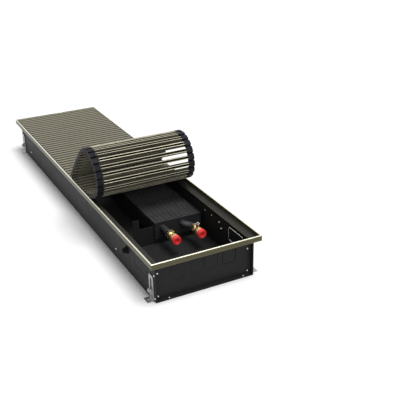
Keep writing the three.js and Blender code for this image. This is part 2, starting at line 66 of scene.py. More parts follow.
camera_data = bpy.data.cameras.new("camera")
camera_data.lens = lens
camera_data.sensor_width = 36
camera_data.clip_end = 50
camera = bpy.data.objects.new("camera", camera_data)
bpy.context.collection.objects.link(camera)
camera.matrix_world = Matrix.Translation(camera_place) @ Matrix((
    (right.x, up.x, -ahead.x),
    (right.y, up.y, -ahead.y),
    (right.z, up.z, -ahead.z),
)).to_4x4()
bpy.context.scene.camera = camera
bpy.context.scene.view_settings.view_transform = "Standard"


def seen_directly(nodes, links):
    """A value of 1 on camera, glossy and transmission rays, and 0 on the rays that carry light."""
    path = nodes.new("ShaderNodeLightPath")
    either = nodes.new("ShaderNodeMath")
    either.operation = "MAXIMUM"
    links.new(path.outputs["Is Camera Ray"], either.inputs[0])
    links.new(path.outputs["Is Glossy Ray"], either.inputs[1])
    any_of_them = nodes.new("ShaderNodeMath")
    any_of_them.operation = "MAXIMUM"
    links.new(either.outputs[0], any_of_them.inputs[0])
    links.new(path.outputs["Is Transmission Ray"], any_of_them.inputs[1])
    return any_of_them.outputs[0]


world = bpy.data.worlds.new("studio")
bpy.context.scene.world = world
world.use_nodes = True
nodes, links = world.node_tree.nodes, world.node_tree.links
nodes.clear()
soft_light = nodes.new("ShaderNodeBackground")
soft_light.inputs["Strength"].default_value = 0.30
backdrop = nodes.new("ShaderNodeBackground")
backdrop.inputs["Color"].default_value = (1, 1, 1, 1)
backdrop.inputs["Strength"].default_value = 1.0
choice = nodes.new("ShaderNodeMixShader")
links.new(seen_directly(nodes, links), choice.inputs[0])
links.new(soft_light.outputs[0], choice.inputs[1])
links.new(backdrop.outputs[0], choice.inputs[2])
world_output = nodes.new("ShaderNodeOutputWorld")
links.new(choice.outputs[0], world_output.inputs["Surface"])


def soft_light_from(name, direction, strength, spread):
    """Wide, even light from one side, as from a large diffuser far away."""
    data = bpy.data.lights.new(name, "SUN")
    data.energy = strength
    data.angle = math.radians(spread)
    lamp = bpy.data.objects.new(name, data)
    bpy.context.collection.objects.link(lamp)
    lamp.rotation_euler = Vector(direction).to_track_quat("Z", "Y").to_euler()


soft_light_from("light_above", (0.13, -0.20, 0.97), 2.3, 30)
soft_light_from("light_front", (-0.12, -0.85, 0.52), 0.62, 30)

floor_mesh = bpy.data.meshes.new("floor")
floor_mesh.from_pydata([(-9, -9, 0), (9, -9, 0), (9, 9, 0), (-9, 9, 0)], [], [(0, 1, 2, 3)])
floor = bpy.data.objects.new("floor", floor_mesh)
bpy.context.collection.objects.link(floor)
floor_paper = bpy.data.materials.new("floor_paper")
floor_paper.use_nodes = True
nodes, links = floor_paper.node_tree.nodes, floor_paper.node_tree.links
paper_shader = nodes["Principled BSDF"]
paper_shader.inputs["Roughness"].default_value = 0.9
paper_shader.inputs["Specular IOR Level"].default_value = 0.0
paper_tone = nodes.new("ShaderNodeMix")
paper_tone.data_type = "RGBA"
paper_tone.inputs["A"].default_value = (0.8, 0.8, 0.8, 1)
paper_tone.inputs["B"].default_value = (1.04, 1.04, 1.04, 1)
links.new(seen_directly(nodes, links), paper_tone.inputs["Factor"])
links.new(paper_tone.outputs["Result"], paper_shader.inputs["Base Color"])
floor_mesh.materials.append(floor_paper)


# ---- Frame ----
# Four mitred rails of extruded aluminium, bronze anodised: a fascia, which the floor covering meets,
# with a painted highlight in a light colour on its rounded top, and inside it a ledge for the grille,
# with a thin black strip that stops rattling and whose black also stands in for the shade on the ledge.


def surface(
    name, dark, light, grain, roughness, relief,
    metallic=0.0, stretch=(1, 1, 1), coat=0.0, specular=0.5,
):
    """A finish whose colour, gloss and relief vary with a grain of the given size in metres."""
    finish = bpy.data.materials.new(name)
    finish.use_nodes = True
    nodes, links = finish.node_tree.nodes, finish.node_tree.links
    shader = nodes["Principled BSDF"]
    shader.inputs["Metallic"].default_value = metallic
    shader.inputs["Specular IOR Level"].default_value = specular
    shader.inputs["Coat Weight"].default_value = coat
    shader.inputs["Coat Roughness"].default_value = 0.25
    place = nodes.new("ShaderNodeTexCoord")
    mapping = nodes.new("ShaderNodeMapping")
    mapping.inputs["Scale"].default_value = stretch
    links.new(place.outputs["Object"], mapping.inputs["Vector"])

    clouds = nodes.new("ShaderNodeTexNoise")
    clouds.inputs["Scale"].default_value = 0.045 / grain
    clouds.inputs["Detail"].default_value = 3
    links.new(mapping.outputs["Vector"], clouds.inputs["Vector"])
    fine = nodes.new("ShaderNodeTexNoise")
    fine.inputs["Scale"].default_value = 1 / grain
    fine.inputs["Detail"].default_value = 2
    links.new(mapping.outputs["Vector"], fine.inputs["Vector"])

    blend = nodes.new("ShaderNodeMath")
    blend.operation = "MULTIPLY_ADD"
    blend.inputs[1].default_value = 0.45
    links.new(fine.outputs["Fac"], blend.inputs[0])
    share = nodes.new("ShaderNodeMath")
    share.operation = "MULTIPLY"
    share.inputs[1].default_value = 0.55
    links.new(clouds.outputs["Fac"], share.inputs[0])
    links.new(share.outputs[0], blend.inputs[2])
    tint = nodes.new("ShaderNodeValToRGB")
    tint.color_ramp.elements[0].position = 0.35
    tint.color_ramp.elements[0].color = (*dark, 1)
    tint.color_ramp.elements[1].position = 0.65
    tint.color_ramp.elements[1].color = (*light, 1)
    links.new(blend.outputs[0], tint.inputs["Fac"])
    links.new(tint.outputs["Color"], shader.inputs["Base Color"])

    gloss = nodes.new("ShaderNodeMapRange")
    gloss.inputs["From Min"].default_value = 0.3
    gloss.inputs["From Max"].default_value = 0.7
    gloss.inputs["To Min"].default_value = roughness[0]
    gloss.inputs["To Max"].default_value = roughness[1]
    links.new(clouds.outputs["Fac"], gloss.inputs["Value"])
    links.new(gloss.outputs["Result"], shader.inputs["Roughness"])

    bump = nodes.new("ShaderNodeBump")
    bump.inputs["Strength"].default_value = 0.35
    bump.inputs["Distance"].default_value = relief
    links.new(fine.outputs["Fac"], bump.inputs["Height"])
    links.new(bump.outputs["Normal"], shader.inputs["Normal"])
    return finish


def new_piece(name, shape, finish):
    """A bmesh becomes an object at the origin, with one finish and outward faces."""
    bmesh.ops.recalc_face_normals(shape, faces=shape.faces)
    mesh = bpy.data.meshes.new(name)
    shape.to_mesh(mesh)
    shape.free()
    mesh.materials.append(finish)
    piece = bpy.data.objects.new(name, mesh)
    bpy.context.collection.objects.link(piece)
    return piece


def fit(piece, body, slot, *nodes_replaced):
    """The piece rides on its body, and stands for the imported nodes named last."""
    if nodes_replaced:
        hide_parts(*nodes_replaced)
    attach(piece, body)


def broken_edges(piece, width, segments=2, angle=35):
    """Sharp edges get a small radius, as sheet, extrusions and mouldings have."""
    bevel = piece.modifiers.new("broken_edges", "BEVEL")
    bevel.width = width
    bevel.segments = segments
    bevel.limit_method = "ANGLE"
    bevel.angle_limit = math.radians(angle)
    bevel.use_clamp_overlap = True


def smooth(piece, angle=40):
    """Round faces shade smoothly, and edges sharper than the angle stay crisp."""
    mesh = piece.data
    mesh.shade_smooth()
    mesh.set_sharp_from_angle(angle=math.radians(angle))


def from_frame(node, name, finish, edge):
    """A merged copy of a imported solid, with its edges broken."""
    shape = bmesh.new()
    shape.from_mesh(frame["nodes"][node].data)
    bmesh.ops.remove_doubles(shape, verts=shape.verts, dist=1e-6)
    bmesh.ops.dissolve_limit(
        shape, angle_limit=math.radians(0.5), verts=shape.verts, edges=shape.edges,
    )
    piece = new_piece(name, shape, finish)
    if edge:
        broken_edges(piece, edge)
    return piece


def mitred_side(shape, side, section, gap=0.0):
    """One mitred side of the frame. The section gives (distance in from the outer face, height)."""
    half_width, half_length = 125 * mm, 500 * mm
    ends = {"near": ((-1, -1), (1, -1)), "right": ((1, -1), (1, 1)),
            "far": ((1, 1), (-1, 1)), "left": ((-1, 1), (-1, -1))}[side]
    loops = []
    for x_side, y_side in ends:
        loops.append([
            shape.verts.new((x_side * (half_width - depth), y_side * (half_length - depth), height))
            for depth, height in section
        ])
    along = (loops[1][0].co - loops[0][0].co).normalized() * gap
    for loop, way in zip(loops, (1, -1)):
        for vert in loop:
            vert.co += along * way
    faces = []
    for i in range(len(section)):
        j = (i + 1) % len(section)
        faces.append(shape.faces.new((loops[0][i], loops[0][j], loops[1][j], loops[1][i])))
    shape.faces.new(loops[0])
    shape.faces.new(loops[1])
    return faces


rail_section = [(u * mm, z * mm) for u, z in (
    (0.3, 84.5), (0, 84.8), (0, 96.0), (0.3, 96.6), (0.9, 97.0), (2.5, 97.0), (2.9, 96.8), (3.0, 96.4),
    (3.0, 95.4), (2.0, 94.2), (2.0, 86.2), (2.4, 85.7), (19.6, 85.7), (20.0, 85.3), (20.0, 84.9),
    (19.6, 84.5),
)]
highlight_runs = (2, 3, 4, 5)  # the runs of the section's rounded top that carry the painted highlight
strip_section = [(u * mm, z * mm) for u, z in ((2.3, 85.6), (2.3, 85.95), (18.9, 85.95), (18.9, 85.6))]

bronze_dark, bronze_light = (0.078, 0.073, 0.038), (0.104, 0.098, 0.053)
rail_finishes = {
    "along": surface(
        "bronze_anodised_along", bronze_dark, bronze_light, 0.0006,
        (0.30, 0.40), 0.00002, metallic=0.6, stretch=(1, 0.03, 1), specular=0.3,
    ),
    "across": surface(
        "bronze_anodised_across", bronze_dark, bronze_light, 0.0006,
        (0.30, 0.40), 0.00002, metallic=0.6, stretch=(0.03, 1, 1), specular=0.3,
    ),
}
# The rails' top faces get a near-white colour as a painted highlight, where the bronze catches the
# light.
painted_lip_highlight = surface(
    "lip_painted_highlight", (0.84, 0.82, 0.66), (0.94, 0.92, 0.76), 0.0006, (0.22, 0.32), 0.00001,
    metallic=0.7,
)
# The ledge strip is black rubber, and its black also stands in for the shade that falls on the ledge.
black_strip_and_ledge_shade = surface(
    "black_strip_and_ledge_shade", (0.007, 0.007, 0.006), (0.013, 0.012, 0.010), 0.0009, (0.62, 0.80), 0.00006,
)
for side, run in (("left", "along"), ("right", "along"), ("near", "across"), ("far", "across")):
    shape = bmesh.new()
    faces = mitred_side(shape, side, rail_section, 0.04 * mm)
    for i in highlight_runs:
        faces[i].material_index = 1
    rail = new_piece(f"rail_{side}", shape, rail_finishes[run])
    rail.data.materials.append(painted_lip_highlight)
    smooth(rail, 50)
    fit(rail, "casing", "frame_anodised", f"frame_rail_{side}")
shape = bmesh.new()
for side in ("left", "right", "near", "far"):
    mitred_side(shape, side, strip_section)
fit(new_piece("ledge_strips", shape, black_strip_and_ledge_shade), "casing", "gland_rubber")


# ---- Trough and end plates ----
# One folded trough of 1 mm sheet steel and two end plates riveted into it with their flanges turned
# outwards, all powder coated black. Slits let the installer break out openings for pipes.

powder_coat = surface(
    "black_powder_coat", (0.0185, 0.0187, 0.0192), (0.0230, 0.0233, 0.0240), 0.0009,
    (0.48, 0.56), 0.00004, specular=0.12,
)
# Painted highlight: the right wall's slit faces get a light bare-steel colour, for the light that the
# cut edges catch.
slit_painted_highlight = surface(
    "bare_steel_painted_highlight", (0.30, 0.30, 0.29), (0.44, 0.44, 0.43), 0.0005, (0.40, 0.55), 0.00002,
    metallic=0.7,
)
# Painted shade: the end plates' slit faces are near black, for the shade inside the slits.
slit_painted_shade = surface(
    "painted_slit_shade", (0.0012, 0.0012, 0.0012), (0.0025, 0.0025, 0.0025), 0.0006, (0.70, 0.85), 0,
    specular=0.05,
)


slits_lowest, slits_highest = 36 * mm, 79 * mm
wall_middle, plate_middle = 112.5 * mm, 477.5 * mm  # halfway through the sheet
half_cut = 0.4 * mm  # the cut faces' centres lie no further than this from the sheet's middle


def slit_faces(piece, finish, chosen):
    """Gives the chosen faces between the slits' lowest and highest places the given finish, which
    paints a highlight into the trough's slits and shade into the end plates' slits.
    """
    piece.data.materials.append(finish)
    for face in piece.data.polygons:
        x, y, z = face.center
        if slits_lowest < z < slits_highest and chosen(x, abs(y), face.normal):
            face.material_index = 1


trough = from_frame("trough", "trough_sheet", powder_coat, 0.25 * mm)
# painted highlight on the right wall's slit faces
slit_faces(
    trough, slit_painted_highlight,
    lambda x, y, n: abs(x - wall_middle) < half_cut and 380 * mm < y < 452 * mm and abs(n.x) < 0.1,
)
fit(trough, "casing", "casing_paint", "trough")
for end in ("near", "far"):
    plate = from_frame(f"end_plate_{end}", f"plate_{end}", powder_coat, 0.25 * mm)
    # painted shade on the end plates' slit faces
    slit_faces(
        plate, slit_painted_shade,
        lambda x, y, n: abs(x) < 76 * mm and abs(y - plate_middle) < half_cut and abs(n.y) < 0.5,
    )
    fit(plate, "casing", "casing_paint", f"end_plate_{end}")


# ---- Rivets, screws and pins ----
# Blind rivets and small screws of bright steel hold the plates, the brackets and the pipe clips to the
# walls. Each sits flat on the sheet, its head outwards.


def turned_shape(rings, sides, axis, centre, closed=False):
    """A shape of rings round an axis. A ring is (height, radius), and its radius may vary with angle.
    A closed shape joins its last ring to its first; any other gets an end face at both ends."""
    shape = bmesh.new()
    across = {"x": ((0, 1, 0), (0, 0, 1)), "y": ((0, 0, 1), (1, 0, 0)), "z": ((1, 0, 0), (0, 1, 0))}
    first, second = (Vector(v) for v in across[axis])
    along = first.cross(second)
    loops = []
    for height, radius in rings:
        loop = []
        for i in range(sides):
            angle = 2 * math.pi * i / sides
            r = radius(angle) if callable(radius) else radius
            loop.append(shape.verts.new(
                Vector(centre) + along * height
                + first * r * math.cos(angle) + second * r * math.sin(angle)
            ))
        loops.append(loop)
    pairs = list(zip(loops, loops[1:]))
    if closed:
        pairs.append((loops[-1], loops[0]))
    for one, other in pairs:
        for i in range(sides):
            j = (i + 1) % sides
            shape.faces.new((one[i], one[j], other[j], other[i]))
    if not closed:
        shape.faces.new(loops[0])
        shape.faces.new(loops[-1])
    return shape


def fastener_tree():
    """Sets a copy of the head on every point, turned to face outwards."""
    tree = bpy.data.node_groups.new("set_fasteners", "GeometryNodeTree")
    face = tree.interface
    face.new_socket("Places", in_out="INPUT", socket_type="NodeSocketGeometry")
    face.new_socket("Head", in_out="INPUT", socket_type="NodeSocketObject")
    face.new_socket("Size", in_out="INPUT", socket_type="NodeSocketFloat")
    face.new_socket("Turn Seed", in_out="INPUT", socket_type="NodeSocketInt")
    face.new_socket("Finish", in_out="INPUT", socket_type="NodeSocketMaterial")
    face.new_socket("Fasteners", in_out="OUTPUT", socket_type="NodeSocketGeometry")
    nodes, links = tree.nodes, tree.links
    given = nodes.new("NodeGroupInput")
    result = nodes.new("NodeGroupOutput")
    facing = nodes.new("GeometryNodeInputNamedAttribute")
    facing.data_type = "FLOAT_VECTOR"
    facing.inputs["Name"].default_value = "facing"
    spin = nodes.new("FunctionNodeRandomValue")
    spin.inputs["Min"].default_value = 0.0
    links.new(given.outputs["Turn Seed"], spin.inputs["Seed"])
    spin.inputs[3].default_value = math.pi
    spun = nodes.new("FunctionNodeAxisAngleToRotation")
    spun.inputs["Axis"].default_value = (0, 0, 1)
    links.new(spin.outputs[1], spun.inputs["Angle"])
    align = nodes.new("FunctionNodeAlignRotationToVector")
    align.axis = "Z"
    links.new(facing.outputs["Attribute"], align.inputs["Vector"])
    turned = nodes.new("FunctionNodeRotateRotation")
    turned.rotation_space = "LOCAL"
    links.new(align.outputs["Rotation"], turned.inputs["Rotation"])
    links.new(spun.outputs["Rotation"], turned.inputs["Rotate By"])
    head = nodes.new("GeometryNodeObjectInfo")
    links.new(given.outputs["Head"], head.inputs["Object"])
    place = nodes.new("GeometryNodeInstanceOnPoints")
    links.new(given.outputs["Places"], place.inputs["Points"])
    links.new(head.outputs["Geometry"], place.inputs["Instance"])
    links.new(turned.outputs["Rotation"], place.inputs["Rotation"])
    links.new(given.outputs["Size"], place.inputs["Scale"])
    real = nodes.new("GeometryNodeRealizeInstances")
    links.new(place.outputs["Instances"], real.inputs["Geometry"])
    coat = nodes.new("GeometryNodeSetMaterial")
    links.new(real.outputs["Geometry"], coat.inputs["Geometry"])
    links.new(given.outputs["Finish"], coat.inputs["Material"])
    links.new(coat.outputs["Geometry"], result.inputs["Fasteners"])
    return tree


def grown(tree, name, values, start=None):
    """The tree's result as a plain mesh object."""
    carrier = bpy.data.objects.new(name + "_start", start or bpy.data.meshes.new(name + "_start"))
    bpy.context.collection.objects.link(carrier)
    steps = carrier.modifiers.new("steps", "NODES")
    steps.node_group = tree
    for socket in tree.interface.items_tree:
        if socket.item_type == "SOCKET" and socket.in_out == "INPUT" and socket.name in values:
            steps[socket.identifier] = values[socket.name]
    made = carrier.evaluated_get(bpy.context.evaluated_depsgraph_get())
    mesh = bpy.data.meshes.new_from_object(made)
    mesh.name = name
    bpy.data.objects.remove(carrier)
    piece = bpy.data.objects.new(name, mesh)
    bpy.context.collection.objects.link(piece)
    return piece


def points_facing(places):
    """A mesh of bare points, each with the direction that its fastener faces."""
    mesh = bpy.data.meshes.new("places")
    mesh.from_pydata([tuple(c * mm for c in place) for place, _ in places], [], [])
    facing = mesh.attributes.new("facing", "FLOAT_VECTOR", "POINT")
    facing.data.foreach_set("vector", [c for _, way in places for c in way])
    return mesh


bright_steel = surface(
    "bright_steel", (0.62, 0.62, 0.61), (0.74, 0.74, 0.73), 0.0005, (0.22, 0.34), 0.00001, metallic=1.0,
)
rivet_head = new_piece("rivet_head", turned_shape([
    (-0.2 * mm, 2.1 * mm), (0.35 * mm, 2.1 * mm), (0.85 * mm, 1.7 * mm), (1.1 * mm, 1.1 * mm),
    (1.1 * mm, 0.8 * mm), (0.5 * mm, 0.65 * mm), (0.5 * mm, 0.2 * mm),
], 16, "z", (0, 0, 0)), bright_steel)
screw_head = new_piece("screw_head", turned_shape([
    (-0.2 * mm, 2.9 * mm), (0.5 * mm, 2.9 * mm), (1.3 * mm, 2.3 * mm), (1.6 * mm, 1.5 * mm),
    (1.5 * mm, lambda a: 1.0 * mm * (0.55 + 0.45 * abs(math.cos(2 * a)))),
    (0.6 * mm, lambda a: 0.9 * mm * (0.45 + 0.45 * abs(math.cos(2 * a)))),
], 16, "z", (0, 0, 0)), bright_steel)
fasteners = fastener_tree()

rivets = []
screws = []
for end in (-1, 1):
    for side in (-1, 1):
        for height in (8, 61):
            rivets.append(((side * 104, end * 478, height), (0, end, 0)))
            rivets.append(((side * 113, end * 483, height), (side, 0, 0)))
    rivets.append(((-82, end * 483, 2.3), (0, 0, 1)))
    rivets.append(((91, end * 483, 2.3), (0, 0, 1)))
for y in (-276, 400):
    rivets.append(((-113, y, 22), (-1, 0, 0)))
    rivets.append(((113, y, 22), (1, 0, 0)))
for y, z in ((-274, 62.6), (-306, 62.7)):
    rivets.append(((112, y, z), (-1, 0, 0)))
for y, z in ((-341, 60), (-350, 48)):
    screws.append(((112, y, z), (-1, 0, 0)))
for x in (-57, 30, 90):
    for y in (-254, 423):
        screws.append(((x, y, 2.8), (0, 0, 1)))
for name, head, places, seed in (
    ("rivets", rivet_head, rivets, 3), ("screws", screw_head, screws, 8),
):
    row = grown(fasteners, name, {
        "Head": head, "Size": 1.0, "Turn Seed": seed, "Finish": bright_steel,
    }, points_facing(places))
    smooth(row, 50)
    fit(row, "casing", "zinc_feet")
bpy.data.objects.remove(rivet_head)
bpy.data.objects.remove(screw_head)


# ---- Roll-up grille, the part that lies flat ----
# Extruded aluminium bars, champagne anodised, each an inverted channel. Painted shade darkens their
# channels, sides and tops, and their foot edges stay light as a painted highlight. Black moulded links
# under the bars' ends snap into each other and let the grille roll up.

bar_pitch = 16 * mm
bar_half_length = 121.5 * mm
link_inner_x = 107.5 * mm
bar_top = 4.5 * mm  # above the hinge line
bar_bottom = -6.5 * mm
link_top = 2.2 * mm
bar_half_width = 3.75 * mm
bar_wall = 1.2 * mm
link_play = 1.5 * mm  # from the hinge line to the link's end
channel_painted_shade, flank_painted_shade, top_painted_shade = 1.0, 0.88, 0.71  # painted shade on a bar's faces; the leg edges have 0 and stay light as a painted highlight


def swept_section(shape, outline, start, end):
    """A closed outline in Y and Z, drawn out along X between two places. Returns its side faces."""
    near = [shape.verts.new((start, y, z)) for y, z in outline]
    far = [shape.verts.new((end, y, z)) for y, z in outline]
    sides = []
    for i in range(len(outline)):
        j = (i + 1) % len(outline)
        sides.append(shape.faces.new((near[i], near[j], far[j], far[i])))
    shape.faces.new(near)
    shape.faces.new(far)
    return sides


def rounded(corner, before, after, radius, steps=3):
    """Points that round one corner of an outline."""
    c, b, a = Vector(corner), Vector(before), Vector(after)
    start = c + (b - c).normalized() * radius
    end = c + (a - c).normalized() * radius
    shares = [i / steps for i in range(steps + 1)]
    return [tuple(start.lerp(c, t).lerp(c.lerp(end, t), t)) for t in shares]


def bar_shape():
    """One bar, in its own frame: its hinge line is the X axis, and the bar lies towards -Y."""
    middle = -bar_pitch / 2
    left, right_ = middle - bar_half_width, middle + bar_half_width
    inner_left, inner_right = left + bar_wall, right_ - bar_wall
    foot = 0.3 * mm
    crown = (
        rounded((right_, bar_top), (right_, 0), (0, bar_top), 0.7 * mm)
        + rounded((left, bar_top), (0, bar_top), (left, 0), 0.7 * mm)
    )
    channel = crown + [
        (left, bar_bottom + foot), (left + foot, bar_bottom),
        (inner_left - foot, bar_bottom), (inner_left, bar_bottom + foot),
        (inner_left, bar_top - bar_wall), (inner_right, bar_top - bar_wall),
        (inner_right, bar_bottom + foot), (inner_right + foot, bar_bottom),
        (right_ - foot, bar_bottom), (right_, bar_bottom + foot),
    ]
    shape = bmesh.new()
    # The face attribute holds painted shade: full in the channel, less on the sides and tops, none on
    # the foot edges.
    painted_shade = shape.faces.layers.float.new("painted_shade")
    sides = swept_section(shape, channel, -link_inner_x, link_inner_x)
    for face in sides[len(crown) + 3:len(crown) + 6]:
        face[painted_shade] = channel_painted_shade
    tops = sides[:len(crown) - 1]
    flanks = [sides[len(crown) - 1], sides[-1]]
    for side in (-1, 1):
        sides = swept_section(
            shape, crown + [(left, link_top), (right_, link_top)],
            side * link_inner_x, side * (bar_half_length - 1.3 * mm),
        )
        tops += sides[:len(crown) - 1]
        flanks += [sides[len(crown) - 1], sides[-1]]
    for face in tops:
        face[painted_shade] = top_painted_shade
    for face in flanks:
        face[painted_shade] = flank_painted_shade
    return shape


def link_shape(nose=True):
    """Both end links of one bar, with the hinge nose towards the bar before it."""
    near, far, middle = -link_play, -bar_pitch + link_play, -bar_pitch / 2
    nose_radius, socket_radius = 2.2 * mm, 2.5 * mm
    front = [(near, bar_bottom + 0.5 * mm)]
    if nose:
        reach = math.acos(-link_play / nose_radius)
        front += [
            (nose_radius * math.cos(a), nose_radius * math.sin(a))
            for a in (reach * (i / 5 - 1) for i in range(11))
        ]
    front += [(near, link_top - 0.4 * mm), (near - 0.4 * mm, link_top)]
    open_angle = math.acos(link_play / socket_radius)
    back = [(far + 0.4 * mm, link_top), (far, link_top - 0.05 * mm)]
    back += [
        (-bar_pitch + socket_radius * math.cos(a), socket_radius * math.sin(a))
        for a in (open_angle * (1 - i / 4) for i in range(9))
    ]
    outline = front + back + [
        (far, bar_bottom + 0.5 * mm), (far + 0.5 * mm, bar_bottom), (near - 0.5 * mm, bar_bottom),
    ]
    cap_half, cap_top, cap_foot = 4.1 * mm, bar_top - 0.15 * mm, link_top - 1 * mm
    cap = [
        (middle - cap_half, cap_top), (middle - cap_half, cap_foot),
        (middle + cap_half, cap_foot), (middle + cap_half, cap_top),
    ]
    step_half, step_top = 4.4 * mm, -2.2 * mm
    step = [
        (middle + step_half, bar_bottom), (middle + step_half, step_top),
        (middle - step_half, step_top), (middle - step_half, bar_bottom),
    ]
    shape = bmesh.new()
    for side in (-1, 1):
        for section, start, end in (
            (outline, link_inner_x, bar_half_length - 0.3 * mm),
            (cap, bar_half_length - 1.2 * mm, bar_half_length - 0.1 * mm),
            (step, link_inner_x - 2.5 * mm, link_inner_x + 0.2 * mm),
        ):
            swept_section(shape, section, side * start, side * end)
    return shape


def row_tree():
    """Copies of a source piece at even steps along Y, each with a slight random shift."""
    tree = bpy.data.node_groups.new("even_row", "GeometryNodeTree")
    face = tree.interface
    face.new_socket("Start Shape", in_out="INPUT", socket_type="NodeSocketGeometry")
    face.new_socket("Source", in_out="INPUT", socket_type="NodeSocketObject")
    face.new_socket("Count", in_out="INPUT", socket_type="NodeSocketInt")
    face.new_socket("First Place", in_out="INPUT", socket_type="NodeSocketVector")
    face.new_socket("Step", in_out="INPUT", socket_type="NodeSocketVector")
    face.new_socket("Play", in_out="INPUT", socket_type="NodeSocketVector")
    face.new_socket("Play Seed", in_out="INPUT", socket_type="NodeSocketInt")
    face.new_socket("Finish", in_out="INPUT", socket_type="NodeSocketMaterial")
    face.new_socket("Row", in_out="OUTPUT", socket_type="NodeSocketGeometry")
    nodes, links = tree.nodes, tree.links
    given = nodes.new("NodeGroupInput")
    result = nodes.new("NodeGroupOutput")
    line = nodes.new("GeometryNodeMeshLine")
    line.mode = "OFFSET"
    links.new(given.outputs["Count"], line.inputs["Count"])
    links.new(given.outputs["First Place"], line.inputs["Start Location"])
    links.new(given.outputs["Step"], line.inputs["Offset"])
    least = nodes.new("ShaderNodeVectorMath")
    least.operation = "SCALE"
    least.inputs["Scale"].default_value = -1.0
    links.new(given.outputs["Play"], least.inputs[0])
    shift = nodes.new("FunctionNodeRandomValue")
    shift.data_type = "FLOAT_VECTOR"
    links.new(least.outputs["Vector"], shift.inputs[0])
    links.new(given.outputs["Play"], shift.inputs[1])
    links.new(given.outputs["Play Seed"], shift.inputs["Seed"])
    settle = nodes.new("GeometryNodeSetPosition")
    links.new(line.outputs["Mesh"], settle.inputs["Geometry"])
    links.new(shift.outputs[0], settle.inputs["Offset"])
    source = nodes.new("GeometryNodeObjectInfo")
    links.new(given.outputs["Source"], source.inputs["Object"])
    place = nodes.new("GeometryNodeInstanceOnPoints")
    links.new(settle.outputs["Geometry"], place.inputs["Points"])
    links.new(source.outputs["Geometry"], place.inputs["Instance"])
    real = nodes.new("GeometryNodeRealizeInstances")
    links.new(place.outputs["Instances"], real.inputs["Geometry"])
    coat = nodes.new("GeometryNodeSetMaterial")
    links.new(real.outputs["Geometry"], coat.inputs["Geometry"])
    links.new(given.outputs["Finish"], coat.inputs["Material"])
    links.new(coat.outputs["Geometry"], result.inputs["Row"])
    return tree


def darken_by_painted_shade(finish, dark):
    """Painted shade: the more the face attribute says, the darker and more matt the finish."""
    nodes, links = finish.node_tree.nodes, finish.node_tree.links
    shader = nodes["Principled BSDF"]
    painted_shade = nodes.new("ShaderNodeAttribute")
    painted_shade.attribute_name = "painted_shade"
    tone = nodes.new("ShaderNodeMix")
    tone.data_type = "RGBA"
    links.new(painted_shade.outputs["Fac"], tone.inputs["Factor"])
    links.new(shader.inputs["Base Color"].links[0].from_socket, tone.inputs["A"])
    tone.inputs["B"].default_value = (*dark, 1)
    links.new(tone.outputs["Result"], shader.inputs["Base Color"])
    gloss = nodes.new("ShaderNodeMix")
    links.new(painted_shade.outputs["Fac"], gloss.inputs["Factor"])
    links.new(shader.inputs["Roughness"].links[0].from_socket, gloss.inputs["A"])
    gloss.inputs["B"].default_value = 0.6
    links.new(gloss.outputs["Result"], shader.inputs["Roughness"])


champagne = surface(
    "champagne_anodised", (0.74, 0.69, 0.50), (0.84, 0.79, 0.60), 0.0005,
    (0.34, 0.44), 0.00001, metallic=0.25, stretch=(0.02, 1, 1), specular=0.3,
)
# Painted shade on the bars' channels, sides and tops; the foot edges keep the light colour as a painted
# highlight.
darken_by_painted_shade(champagne, (0.012, 0.011, 0.006))
link_plastic = surface(
    "black_link_plastic", (0.013, 0.013, 0.0165), (0.021, 0.021, 0.026), 0.0008, (0.44, 0.56), 0.00003,
    specular=0.07,
)
even_row = row_tree()
flat_bars = 37
first_hinge = (0, 496 * mm, 92.5 * mm)
one_bar = new_piece("one_bar", bar_shape(), champagne)
one_link = new_piece("one_link", link_shape(nose=False), link_plastic)
flat_rows = (
    ("flat_bars", one_bar, champagne, "grille_anodised"),
    ("flat_links", one_link, link_plastic, "gland_rubber"),
)
for name, source, finish, slot_name in flat_rows:
    row = grown(even_row, name, {
        "Source": source, "Count": flat_bars, "First Place": first_hinge,
        "Step": (0, -bar_pitch, 0), "Play": (0.15 * mm, 0, 0), "Play Seed": 5, "Finish": finish,
    })
    smooth(row, 30)
    fit(row, "grille", slot_name, "grille_flat")


# ---- Roll-up grille, the part that is rolled back ----
# The same bars and links, still hooked together. Each one hangs on the link before it, turned by the
# angle that its hinge lets it turn.

roll_joints = sorted(
    (j for j in frame["joints"] if j["name"].startswith("roll_hinge_")), key=lambda j: j["name"],
)
turned_so_far = 0.0
for number, joint in enumerate(roll_joints, 1):
    turned_so_far += math.radians(joint["range_deg"][1])
    stand = Matrix.Translation(joint["pos_m"]) @ Matrix.Rotation(-turned_so_far, 4, "X")
    for label, shape, finish, slot_name in (
        ("bar", bar_shape(), champagne, "grille_anodised"),
        ("links", link_shape(), link_plastic, "gland_rubber"),
    ):
        shape.transform(stand)
        piece = new_piece(f"rolled_{label}_{number:02d}", shape, finish)
        smooth(piece, 30)
        fit(piece, f"bar_{number:02d}", slot_name, f"grille_bar_{number:02d}")
bpy.data.objects.remove(one_bar)
bpy.data.objects.remove(one_link)


# ---- Heat exchanger ----
# Thin aluminium fins pressed on the copper tube, with a grooved sheet in front of the first one, all
# coated black. The fins stand across the air's way up.

exchanger_left, exchanger_right = -13 * mm, 105 * mm
exchanger_bottom, exchanger_top = 15 * mm, 55 * mm
fin_start, fin_end = -264.7 * mm, 426.1 * mm
fin_pitch, fin_count = 6 * mm, 115
first_fin = fin_start + 1.6 * mm
first_collar, collar_length, collar_radius = fin_start + 1.8 * mm, 5.0 * mm, 8.6 * mm
pipe_height = 40 * mm
pipe_places = (7 * mm, 57 * mm)

# The fins are coated black. Their top lips get a light grey as a painted highlight, and painted shade
# makes the rest near black.
fins_painted_light_and_shade = surface(
    "black_fins_painted_light_and_shade", (0.140, 0.140, 0.146), (0.170, 0.170, 0.177), 0.0012, (0.34, 0.46), 0.00003,
    metallic=0.3,
)


